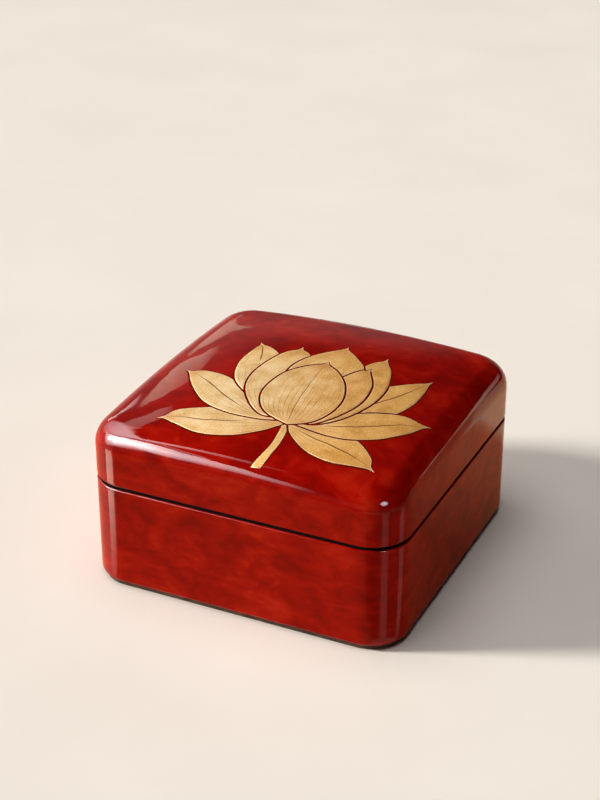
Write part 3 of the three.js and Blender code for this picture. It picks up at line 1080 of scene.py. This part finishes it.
def shaded_colour(finish, leaf):
    """The leaf browner and hatched towards the petal's ends, specked, and with a painted highlight along its
    edge.
    """
    along = finish.add("SeparateXYZ", {"Vector": petal_shares(finish)}).outputs["Y"]
    brown = finish.weighted((finish.ranged(along, 0.72, 1.0), 0.65), (finish.ranged(along, 0.25, 0.0), 0.35))
    shaded = finish.mix(brown, leaf, GOLD_BROWN)
    hatched = finish.math("MULTIPLY", finish.ranged(strokes(finish, 90, 2.5, 2), 0.56, 0.63),
                          finish.ranged(along, 0.66, 0.95))
    shaded = finish.mix(finish.math("MULTIPLY", hatched, 0.6), shaded, HATCHING)
    specks = finish.noise(finish.millimetres(), 0.38, 1, 0.5)
    shaded = finish.mix(finish.ranged(specks, 0.66, 0.74, 0.0, 0.7), shaded, GOLD_SPECK)
    shaded = finish.mix(finish.ranged(specks, 0.33, 0.26, 0.0, 0.5), shaded, PORE)
    # Painted highlight: the gold is paler within a fraction of a millimetre of its edge.
    edge = finish.ranged(number_of(finish, "from_edge"), 0.04, 0.3, 0.6, 0.0)
    return finish.mix(edge, shaded, GOLD_EDGE_HIGHLIGHT)


def veined_colour(finish, shaded):
    """The petal's fan of fine veins and its midrib drawn over the leaf, with a slight wobble."""
    wobble = finish.math("SUBTRACT", finish.noise(finish.millimetres(), 5, 1, 0.5), 0.5)
    off_middle = number_of(finish, "off_middle")
    from_rib = finish.math("ABSOLUTE", finish.math("MULTIPLY_ADD", wobble, RIB_WOBBLE, off_middle))
    rib_reach = finish.math("MULTIPLY", number_of(finish, "rib"), RIB_REACH)
    rib_reach = finish.math("MAXIMUM", rib_reach, LEAST_REACH)
    rib = finish.ranged(finish.math("DIVIDE", from_rib, rib_reach), 1.0, 0.4)
    fan_place = number_of(finish, "fan_place")
    place = finish.math("FRACT", finish.math("MULTIPLY_ADD", wobble, FINE_WOBBLE, fan_place))
    off_line = finish.math("ABSOLUTE", finish.math("SUBTRACT", place, 0.5))
    from_line = finish.math("MULTIPLY", off_line, number_of(finish, "fan_spacing"))
    line = finish.ranged(from_line, FINE_REACH, 0.3 * FINE_REACH)
    fine = finish.math("MULTIPLY", line, number_of(finish, "fan"))
    lined = finish.mix(finish.math("MULTIPLY", fine, 0.6), shaded, FINE_INK)
    return finish.mix(finish.math("MULTIPLY", rib, 0.92), lined, RIB_INK)


def cut_gold():
    """Satin gold leaf: strokes along each petal, browner towards its ends and dark in its veins."""
    finish = Finish("cut_gold", {"Metallic": 0.11, "Specular IOR Level": 0.05})
    mottled = finish.noise(finish.millimetres(), 6, 4, 0.5, 0.4)
    powder = finish.noise(finish.millimetres(), 0.5, 2, 0.5)
    shaded = shaded_colour(finish, leaf_colour(finish, mottled, powder))
    finish.set("Base Color", veined_colour(finish, shaded))
    finish.set("Roughness", finish.ranged(mottled, 0.3, 0.7, 0.42, 0.58))
    finish.set("Normal", finish.bump(powder, 0.000012))
    return finish.material


def floor_finish():
    finish = Finish("pale_floor", {"Roughness": 0.8, "Specular IOR Level": 0.0})
    tone = finish.noise(finish.millimetres(), 90, 4, 0.5)
    finish.tint(tone, (0.84, 0.81, 0.77), (0.88, 0.85, 0.81), dark_tone=0.3)
    return finish.material


# Studio

def direction(azimuth, elevation):
    """A direction from the box: azimuth 0 is the front, 90 the right side."""
    turn, rise = math.radians(azimuth), math.radians(elevation)
    return Vector((math.sin(turn) * math.cos(rise), -math.cos(turn) * math.cos(rise), math.sin(rise)))


def add_lamp(name, light, away):
    """A lamp that shines on the box from a direction."""
    lamp = bpy.data.objects.new(name, light)
    lamp.rotation_mode = "QUATERNION"
    lamp.rotation_quaternion = away.to_track_quat("Z", "Y")
    bpy.context.scene.collection.objects.link(lamp)
    return lamp


def sun(name, azimuth, elevation, strength, angle_degrees, colour):
    light = bpy.data.lights.new(name, "SUN")
    light.energy = strength
    light.angle = math.radians(angle_degrees)
    light.color = colour
    add_lamp(name, light, direction(azimuth, elevation))


def softbox(name, azimuth, elevation, distance, side, radiance, colour):
    """A square light that faces the box and that its gloss doesn't mirror."""
    light = bpy.data.lights.new(name, "AREA")
    light.shape = "RECTANGLE"
    light.size = light.size_y = side
    light.energy = radiance * math.pi * side * side
    light.color = colour
    away = direction(azimuth, elevation)
    lamp = add_lamp(name, light, away)
    lamp.location = TARGET + away * distance
    lamp.visible_camera = False
    lamp.visible_glossy = False


def card(name, rows, radiance, colour):
    """A card that only the gloss of the box mirrors: a pale one brightens it and a dark one darkens it.

    Its corners come in rows, each with a place and how much of what is behind it the card covers there.
    """
    corners = [corner for row in rows for corner in row]
    long = len(rows[0])
    faces = []
    for start in range(0, len(corners) - long, long):
        for index in range(start, start + long - 1):
            faces.append((index, index + 1, index + 1 + long, index + long))
    mesh = bpy.data.meshes.new(name)
    mesh.from_pydata([tuple(place) for place, _ in corners], [], faces)
    piece = bpy.data.objects.new(name, mesh)
    add_numbers(piece, "cover", [cover for _, cover in corners])
    material = bpy.data.materials.new(name)
    material.use_nodes = True
    nodes = Nodes(material.node_tree)
    nodes.tree.nodes.clear()
    cover = nodes.add("Attribute", attribute_name="cover").outputs["Fac"]
    behind = nodes.add("BsdfTransparent").outputs["BSDF"]
    emission = nodes.add("Emission", {"Color": (*colour, 1), "Strength": radiance / COAT_WEIGHT})
    mix = nodes.add("MixShader", {0: cover, 1: behind, 2: emission.outputs["Emission"]})
    nodes.add("OutputMaterial", {"Surface": mix.outputs["Shader"]})
    if radiance < SAMPLED_RADIANCE:
        material.cycles.emission_sampling = "NONE"
    mesh.materials.append(material)
    piece.visible_camera = False
    piece.visible_diffuse = False
    piece.visible_transmission = False
    piece.visible_shadow = False
    bpy.context.scene.collection.objects.link(piece)


TARGET = Vector((0, 0, 0.06))

# Fainter cards than this are left out of the sampling of lights, which keeps the sides free of noise.
SAMPLED_RADIANCE = 6


FLOOR_REACH = 8


def build_floor():
    corners = [(x * FLOOR_REACH, y * FLOOR_REACH, 0) for x, y in ((-1, -1), (1, -1), (1, 1), (-1, 1))]
    mesh = bpy.data.meshes.new("floor")
    mesh.from_pydata(corners, [], [(0, 1, 2, 3)])
    mesh.materials.append(floor_finish())
    floor = bpy.data.objects.new("floor", mesh)
    bpy.context.scene.collection.objects.link(floor)


def build_world():
    """A studio that is pale towards the left and near the horizon, and dark above and to the right."""
    world = bpy.data.worlds.new("studio")
    bpy.context.scene.world = world
    world.use_nodes = True
    nodes = Nodes(world.node_tree)
    towards = nodes.add("TexCoord").outputs["Generated"]
    separate = nodes.add("SeparateXYZ", {"Vector": towards}).outputs
    low = nodes.ranged(separate["Z"], 0.08, 0.34, 0.22, 0.024)
    behind = nodes.ranged(separate["X"], 0.3, -0.1, 0.06, 1.0)
    left = nodes.ranged(separate["X"], -0.4, -0.75, 0.0, 0.4)
    under = nodes.ranged(separate["Z"], 0.3, 0.8, 1.0, 0.2)
    strength = nodes.math("ADD", nodes.math("MULTIPLY", low, behind), nodes.math("MULTIPLY", left, under))
    background = nodes.tree.nodes["Background"]
    nodes.feed(background.inputs["Strength"], strength)
    nodes.feed(background.inputs["Color"], (1, 0.95, 0.86, 1))


def build_lights():
    sun("sun", -66, 24, 4.1, 9, (1, 0.94, 0.85))
    softbox("above", -60, 84, 3, 2.4, 2.65, (1, 0.95, 0.9))


# The panes of a tall window on the left, the sky beside it, and a window on the right. Each is a strip
# between rows of corners given as azimuth, elevation and cover, after its radiance and colour.
CARD_DISTANCE = 3.0
PANES = {
    "window": (35, (1, 0.97, 0.98), (
        ((-95, 22, 0.0), (-80.5, 25.4, 0.2), (-59.4, 38.3, 0.75), (-47.3, 42.9, 0.8), (-44.0, 41.5, 0.6),
         (-41.0, 39.7, 0.6), (-38.5, 38.6, 0.45), (-33.5, 33.3, 0.33), (-30.6, 30.1, 0.3),
         (-28.1, 27.5, 0.27), (-25.7, 25.5, 0.22), (-23.3, 21.2, 0.14), (-21.2, 19.4, 0.07),
         (-19.5, 17.4, 0.0)),
        ((-80, 13.5, 0.0), (-67.2, 17.1, 0.35), (-45.4, 28.8, 1.0), (-37.9, 32.1, 1.0), (-35.6, 30.0, 0.95),
         (-34.6, 29.5, 0.85), (-32.5, 27.7, 0.6), (-29.8, 23.9, 0.42), (-28.0, 21.7, 0.33),
         (-26.3, 20.3, 0.27), (-24.5, 19.2, 0.23), (-22.6, 15.9, 0.16), (-20.8, 14.7, 0.09),
         (-19.3, 14.2, 0.0)),
        ((-73, 3, 0.0), (-60.3, 5.6, 0.1), (-37.2, 16.2, 0.25), (-31.5, 16.9, 0.15), (-31.1, 18.0, 0.15),
         (-30.0, 16.1, 0.18), (-28.7, 14.5, 0.2), (-27.3, 12.7, 0.16), (-26.3, 12.6, 0.14),
         (-25.0, 11.8, 0.12), (-23.5, 11.6, 0.1), (-22.1, 10.2, 0.08), (-20.5, 9.7, 0.04),
         (-19.1, 9.3, 0.0)),
    )),
    "corner_pane": (10.5, (1, 0.9, 0.92), (
        ((-109.6, 7.1, 0.0), (-114.0, 19.6, 0.12), (-123.3, 33.0, 0.22), (-128.5, 38.9, 0.35),
         (-113.3, 51.1, 0.6), (-81.8, 55.9, 0.8), (-59.8, 51.8, 0.8), (-50.1, 47.5, 0.4)),
        ((-94.4, 10.5, 0.0), (-84.3, 26.2, 0.3), (-66.2, 40.9, 0.8), (-55.5, 47.1, 0.95),
         (-51.9, 46.2, 0.95), (-50.9, 46.6, 0.9), (-49.0, 45.9, 0.8), (-45.9, 44.3, 0.4)),
    )),
    "fine_line": (7, (1, 0.9, 0.9), (
        ((-91.5, 56.1, 0.35), (-60.0, 52.1, 0.5), (-48.9, 46.9, 0.35), (-46.3, 46.7, 0.3),
         (-37.1, 39.3, 0.4), (-33.0, 35.4, 0.5), (-30.3, 31.8, 0.5)),
        ((-76.0, 55.4, 0.35), (-52.4, 48.4, 0.5), (-44.2, 43.0, 0.35), (-42.2, 43.0, 0.3),
         (-35.1, 36.2, 0.4), (-31.5, 32.2, 0.5), (-29.3, 29.0, 0.5)),
    )),
    "edge_line": (4, (1, 0.9, 0.85), (
        ((-122.7, 10.7, 0.9), (-131.6, 22.9, 0.9), (-137.0, 24.7, 0.8), (-137.5, 22.3, 0.5),
         (-138.1, 20.1, 0.2)),
        ((-117.9, 16.4, 0.9), (-130.3, 26.8, 0.9), (-137.2, 27.1, 0.8), (-137.7, 24.7, 0.5),
         (-138.1, 22.4, 0.2)),
    )),
    "stripe": (1.7, (1, 0.93, 0.85), (
        ((-136.6, 33.2, 0.3), (-136.6, 33.6, 0.8), (-137.0, 32.6, 0.8), (-137.4, 32.4, 0.8),
         (-138.0, 32.8, 0.3)),
        ((-112.3, 52.8, 0.3), (-127.7, 45.7, 0.7), (-136.1, 37.5, 0.6), (-136.4, 37.4, 0.5),
         (-137.3, 36.5, 0.1)),
    )),
    "near_pane": (1.6, (1, 0.95, 0.74), (
        ((-137.5, 26.8, 0.6), (-138.4, 22.5, 1.0), (-139.5, 18.4, 0.95), (-140.6, 15.3, 1.0),
         (-141.6, 13.5, 0.85), (-142.5, 13.0, 0.75), (-143.5, 13.2, 0.7), (-144.6, 12.3, 0.5),
         (-145.7, 11.7, 0.1)),
        ((-137.3, 28.6, 0.5), (-137.8, 26.9, 0.9), (-138.4, 26.9, 0.8), (-139.2, 25.5, 0.6),
         (-140.1, 24.5, 0.4), (-141.1, 23.2, 0.35), (-142.6, 19.7, 0.35), (-144.0, 16.4, 0.2),
         (-145.5, 13.7, 0.0)),
    )),
    "far_pane": (1.3, (1, 0.95, 0.74), (
        ((-142.5, 11.2, 0.4), (-144.0, 9.3, 1.0), (-145.3, 8.2, 1.0), (-146.6, 7.6, 1.0),
         (-148.1, 7.5, 0.9), (-150.3, 7.7, 0.2)),
        ((-142.5, 12.3, 0.3), (-143.8, 10.8, 0.8), (-145.0, 10.4, 0.7), (-146.2, 9.7, 0.55),
         (-147.5, 8.7, 0.35), (-150.2, 7.0, 0.0)),
    )),
    "right_window": (16, (0.93, 0.9, 1), (
        ((47, 31, 0.0), (51, 32, 0.0), (55, 32, 0.0), (59, 32, 0.0), (63, 31, 0.0)),
        ((44, 26.5, 0.0), (50, 27, 0.6), (55, 27.5, 0.8), (60, 27, 0.6), (66, 26.5, 0.0)),
        ((43, 23, 0.0), (49, 23, 0.8), (55, 23, 1.0), (61, 23, 0.8), (67, 23, 0.0)),
        ((44, 19.5, 0.0), (50, 19, 0.6), (55, 18.5, 0.8), (60, 19, 0.6), (66, 19.5, 0.0)),
        ((47, 15, 0.0), (51, 14, 0.0), (55, 14, 0.0), (59, 14, 0.0), (63, 15, 0.0)),
    )),
    "right_line": (1.1, (1.3, 1, 0.78), (
        ((140.6, 4.0, 0.3), (141.3, 1.2, 0.8), (142.4, 0.9, 1.0), (143.6, -0.2, 1.0), (144.9, 0.3, 1.0),
         (146.2, 1.5, 1.0), (147.4, 3.5, 1.0), (150.0, 7.2, 0.8), (156.4, 12.6, 0.3)),
        ((141.0, -2.2, 0.3), (142.1, -9, 0.8), (143.1, -9, 1.0), (144.3, -9, 1.0), (145.3, -9, 1.0),
         (146.3, -7, 1.0), (147.1, -4, 1.0), (148.9, 1, 0.8), (154.0, 7, 0.3)),
    )),
}

# Cards on the table, in millimetres and cover, which shade or brighten what the sides mirror of it. They lie
# one above the other in this order.
TABLE_CARD_STEP = 0.0003
TABLE_CARDS = {
    "front_shade": (1, (0.27, 0.15, 0.075), (
        ((-51, -61, 1), (54, -60.8, 1)),
        ((-160, -201, 1), (66, -250, 1)),
        ((-1500, -1960, 0.8), (230, -2700, 0.8)),
    )),
    "corner_ground": (1, (0.44, 0.36, 0.30), (
        ((54, -60.8, 1), (56, -60, 1), (60, -56, 1), (60.5, -52, 1)),
        ((66, -250, 1), (192, -190, 1), (254, -71, 1), (189, 25, 1)),
        ((230, -2700, 0.8), (1800, -1900, 0.8), (2600, -600, 0.8), (2700, 1532, 0.8)),
    )),
    "far_shade": (1, (0.10, 0.05, 0.03), (
        ((-160, -201, 0), (66, -250, 0), (192, -190, 0), (254, -71, 0), (189, 25, 0)),
        ((-300, -400, 1), (110, -430, 1), (320, -320, 1), (430, -120, 1), (330, 60, 1)),
        ((-1500, -1960, 1), (230, -2700, 1), (1800, -1900, 1), (2600, -600, 1), (2700, 1532, 1)),
    )),
    "left_shade": (1, (0.92, 0.40, 0.25), (
        ((-56, -60, 1), (-60.5, -58, 1), (-60.5, -40, 1), (-60.5, 0, 0)),
        ((-260, -74, 1), (-240, 60, 1), (-160, 100, 1), (-140, 160, 0)),
        ((-460, -100, 0), (-420, 150, 0), (-280, 240, 0), (-220, 300, 0)),
    )),
    "right_shade": (1, (0.085, 0.033, 0.015), (
        ((60.4, -54, 0), (60.5, -51, 1), (60.5, 20, 1), (60.5, 96, 1)),
        ((250, 10, 0), (189, 25, 1), (160, 70, 1), (127, 134, 1)),
        ((3000, 900, 0), (2700, 1532, 1), (1800, 1600, 1), (1300, 2000, 1)),
    )),
    "right_glow": (1, (0.65, 0.25, 0.12), (
        ((60.5, -52, 0), (60.5, 12, 0.02), (60.5, 45, 0.25), (60.5, 70, 0.55), (60.5, 96, 0.85)),
        ((189, 25, 0.3), (175, 50, 0.4), (160, 70, 0.5), (145, 100, 0.6), (127, 134, 0.8)),
        ((2700, 1532, 0.6), (2400, 1580, 0.6), (1800, 1600, 0.6), (1500, 1800, 0.7), (1300, 2000, 0.8)),
    )),
    "right_beyond": (1, (0.95, 0.58, 0.34), (
        ((60.5, 92, 0), (82, 99, 0), (131, 122, 0), (790, 1060, 0)),
        ((60.5, 102, 1), (82, 112, 1), (123, 146, 1), (700, 1120, 1)),
        ((60.5, 240, 1), (120, 260, 1), (260, 330, 1), (900, 1900, 1)),
        ((60.5, 400, 0), (160, 450, 0), (380, 560, 0), (1100, 2600, 0)),
    )),
    "left_strip": (4.3, (1.3, 1, 0.78), (
        ((-51, -60, 0.1), (-62, -64, 0.16), (-76, -71, 0.4), (-105, -83, 0.85), (-124, -89, 1),
         (-304, -190, 1)),
        ((-49, -61, 0.1), (-60, -71, 0.16), (-71, -83, 0.4), (-90, -103, 0.85), (-103, -118, 1),
         (-241, -266, 1)),
    )),
    "corner_shade": (1, (0.10, 0.05, 0.03), (
        ((51, -61, 0), (54, -61, 1), (55.6, -60.2, 1), (57.2, -58.8, 0)),
        ((26, -250, 0), (66, -250, 1), (181, -203, 1), (205, -179, 0)),
    )),
    "corner_shade_beyond": (1, (0.10, 0.05, 0.03), (
        ((58.6, -57.6, 0), (59.2, -56.4, 1), (59.7, -53, 1), (60, -52.2, 0)),
        ((218, -160, 0), (235, -127, 1), (247, -21, 1), (243, -5, 0)),
    )),
}


# These panes fade out beyond their first and last rows, over these shares of the way between two rows.
SOFT_PANES = ("window", "corner_pane")
FIRST_FADE = 0.08
LAST_FADE = 0.35


def faded(rows):
    """The rows with one more at each end, beyond the last one and with nothing covered."""
    rows = [np.array(row, float) for row in rows]
    before = rows[0] + (rows[0] - rows[1]) * FIRST_FADE
    after = rows[-1] + (rows[-1] - rows[-2]) * LAST_FADE
    before[:, 2] = after[:, 2] = 0
    return [before, *rows, after]


def build_cards():
    for name, (radiance, colour, rows) in PANES.items():
        rows = faded(rows) if name in SOFT_PANES else rows
        card(name, [[(TARGET + direction(azimuth, elevation) * CARD_DISTANCE, cover)
                     for azimuth, elevation, cover in row] for row in rows], radiance, colour)
    for level, (name, (radiance, colour, rows)) in enumerate(TABLE_CARDS.items(), 1):
        card(name, [[(Vector((x * MILLIMETRE, y * MILLIMETRE, level * TABLE_CARD_STEP)), cover)
                     for x, y, cover in row] for row in rows], radiance, colour)


# The camera stands where the photograph was taken from. Its frame is 600 by 800 pixels.
FRAME_HEIGHT = 800
FOCAL_PIXELS = 1787.744
SENSOR = 36
CAMERA_YAW = math.radians(25.238)
CAMERA_PITCH = math.radians(27.386)
CAMERA_DISTANCE = 0.663445
CAMERA_CENTRE = Vector((0, 0, 0.03))
CAMERA_RIGHT = -0.0026196
CAMERA_UP = 0.0248568
NEAREST_SEEN = 0.01
FARTHEST_SEEN = 50


def build_camera():
    bpy.context.scene.view_settings.view_transform = "Standard"
    data = bpy.data.cameras.new("camera")
    data.sensor_fit = "AUTO"
    data.sensor_width = SENSOR
    data.lens = FOCAL_PIXELS * SENSOR / FRAME_HEIGHT
    data.clip_start, data.clip_end = NEAREST_SEEN, FARTHEST_SEEN
    camera = bpy.data.objects.new("camera", data)
    yaw, pitch = CAMERA_YAW, CAMERA_PITCH
    forward = Vector((-math.sin(yaw) * math.cos(pitch), math.cos(yaw) * math.cos(pitch), -math.sin(pitch)))
    right = Vector((math.cos(yaw), math.sin(yaw), 0))
    up = right.cross(forward)
    place = CAMERA_CENTRE - forward * CAMERA_DISTANCE + right * CAMERA_RIGHT + up * CAMERA_UP
    camera.matrix_world = Matrix((
        (right.x, up.x, -forward.x, place.x),
        (right.y, up.y, -forward.y, place.y),
        (right.z, up.z, -forward.z, place.z),
        (0, 0, 0, 1),
    ))
    bpy.context.scene.collection.objects.link(camera)
    bpy.context.scene.camera = camera


build_camera()
build_floor()
build_world()
build_lights()
build_cards()

red = red_lacquer()
black = black_lacquer()
# Near-black and matte in the groove: partly the groove's black lacquer and partly painted shade.
joint = matte_lacquer_painted_light("joint_painted_shade", (0.0015, 0.0008, 0.0006), (0.008, 0.0032, 0.002))
# The foot is black lacquer; its matte brown stands in for the pale floor it mirrors, a painted reflection
# lighter than its shade would leave it.
build_foot(matte_lacquer_painted_light("foot_painted_reflection", (0.060, 0.034, 0.022), (0.130, 0.078, 0.050)))
build_body_shell(red)
build_body_lining(black)
build_joint(joint)
build_lip(black)
build_tray(black)
build_lid_shell(red)
build_lid_lining(black)
build_lotus(cut_gold(), ground_lacquer())

floor_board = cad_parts["floor_board"]
floor_board.data.materials.clear()
floor_board.data.materials.append(black)
